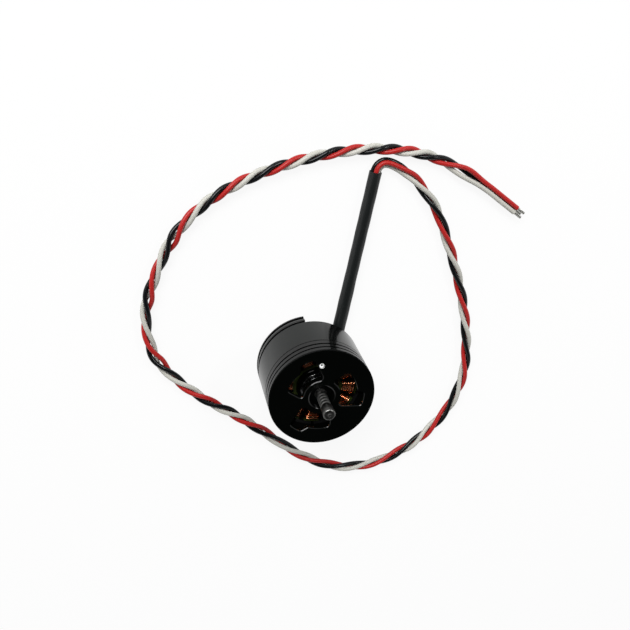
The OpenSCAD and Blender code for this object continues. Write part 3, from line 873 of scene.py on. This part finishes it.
class MOTOR_OT_stage(bpy.types.Operator):
    """Lays the pale floor and sets the soft studio light"""

    bl_idname = "motor.stage"
    bl_label = "Stage"

    def execute(self, context):
        self.floor(context.scene)
        self.world(context.scene)
        for name, at, size, power in LAMPS:
            self.lamp(context.scene, name, at, size, power)
        context.scene.view_settings.view_transform = "Standard"
        return {"FINISHED"}

    def floor(self, scene):
        """A pale floor that glows for the camera, so that it looks white."""
        bm = bmesh.new()
        bmesh.ops.create_grid(bm, x_segments=1, y_segments=1, size=FLOOR_HALF)
        bmesh.ops.translate(bm, verts=bm.verts, vec=(0, 0, FLOOR_Z))
        mesh = bpy.data.meshes.new("floor")
        bm.to_mesh(mesh)
        bm.free()
        material, tree, shader = new_material("studio_floor", colours().floor, 0.7, 0.0, 0.1)
        seen = node(tree, "ShaderNodeLightPath")
        glow = node(tree, "ShaderNodeEmission")
        set_inputs(glow, {"Color": (1, 1, 1, 1)})
        mix = node(tree, "ShaderNodeMixShader")
        share = node(tree, "ShaderNodeMath", operation="MULTIPLY")
        share.inputs[1].default_value = FLOOR_GLOW
        join(
            tree,
            (seen.outputs["Is Camera Ray"], share.inputs[0]),
            (share.outputs[0], mix.inputs["Fac"]),
            (shader.outputs["BSDF"], mix.inputs[1]),
            (glow.outputs["Emission"], mix.inputs[2]),
            (mix.outputs["Shader"], tree.nodes["Material Output"].inputs["Surface"]))
        mesh.materials.append(material)
        obj = bpy.data.objects.new("floor", mesh)
        scene.collection.objects.link(obj)

    def world(self, scene):
        """A sky that is white low down and dark overhead."""
        world = bpy.data.worlds.new("studio")
        world.use_nodes = True
        scene.world = world
        tree = world.node_tree
        back = tree.nodes["Background"]
        set_inputs(back, {"Strength": 1.0})
        place = node(tree, "ShaderNodeTexCoord")
        split = node(tree, "ShaderNodeSeparateXYZ")
        ramp = node(tree, "ShaderNodeValToRGB")
        white, dark = ramp.color_ramp.elements
        white.position, white.color = SKY_WHITE_TO, (1, 1, 1, 1)
        dark.position, dark.color = SKY_DARK_FROM, (SKY_DARK, SKY_DARK, SKY_DARK, 1)
        join(
            tree,
            (place.outputs["Generated"], split.inputs[0]),
            (split.outputs["Z"], ramp.inputs["Fac"]),
            (ramp.outputs["Color"], back.inputs["Color"]))

    def lamp(self, scene, name, at, size, power):
        data = bpy.data.lights.new(name, "AREA")
        data.shape = "RECTANGLE"
        data.size, data.size_y = size
        data.energy = power
        obj = bpy.data.objects.new(name, data)
        obj.location = at
        obj.rotation_euler = (-Vector(at)).to_track_quat("-Z", "Y").to_euler()
        scene.collection.objects.link(obj)


class MOTOR_PT_panel(bpy.types.Panel):
    """Lists the motor's pieces, sizes and colours"""

    bl_idname = "MOTOR_PT_panel"
    bl_label = "Drone arm motor"
    bl_space_type = "VIEW_3D"
    bl_region_type = "UI"
    bl_category = "Motor"

    def draw(self, context):
        for group in (context.scene.motor_sizes, context.scene.motor_colours):
            box = self.layout.box()
            for name in group.__annotations__:
                box.prop(group, name)
        for operator in OPERATORS:
            self.layout.operator(operator.bl_idname)


OPERATORS = (
    MOTOR_OT_camera,
    MOTOR_OT_cable,
    MOTOR_OT_shaft,
    MOTOR_OT_windings,
    MOTOR_OT_bell,
    MOTOR_OT_base,
    MOTOR_OT_stator,
    MOTOR_OT_bearings,
    MOTOR_OT_stage,
)
CLASSES = (MotorSizes, MotorColours, *OPERATORS, MOTOR_PT_panel)


def register():
    for cls in CLASSES:
        bpy.utils.register_class(cls)
    bpy.types.Scene.motor_sizes = PointerProperty(type=MotorSizes)
    bpy.types.Scene.motor_colours = PointerProperty(type=MotorColours)


def unregister():
    del bpy.types.Scene.motor_colours
    del bpy.types.Scene.motor_sizes
    for cls in reversed(CLASSES):
        bpy.utils.unregister_class(cls)


def main():
    register()
    for operator in OPERATORS:
        group, name = operator.bl_idname.split(".")
        getattr(getattr(bpy.ops, group), name)()


if __name__ == "__main__":
    main()
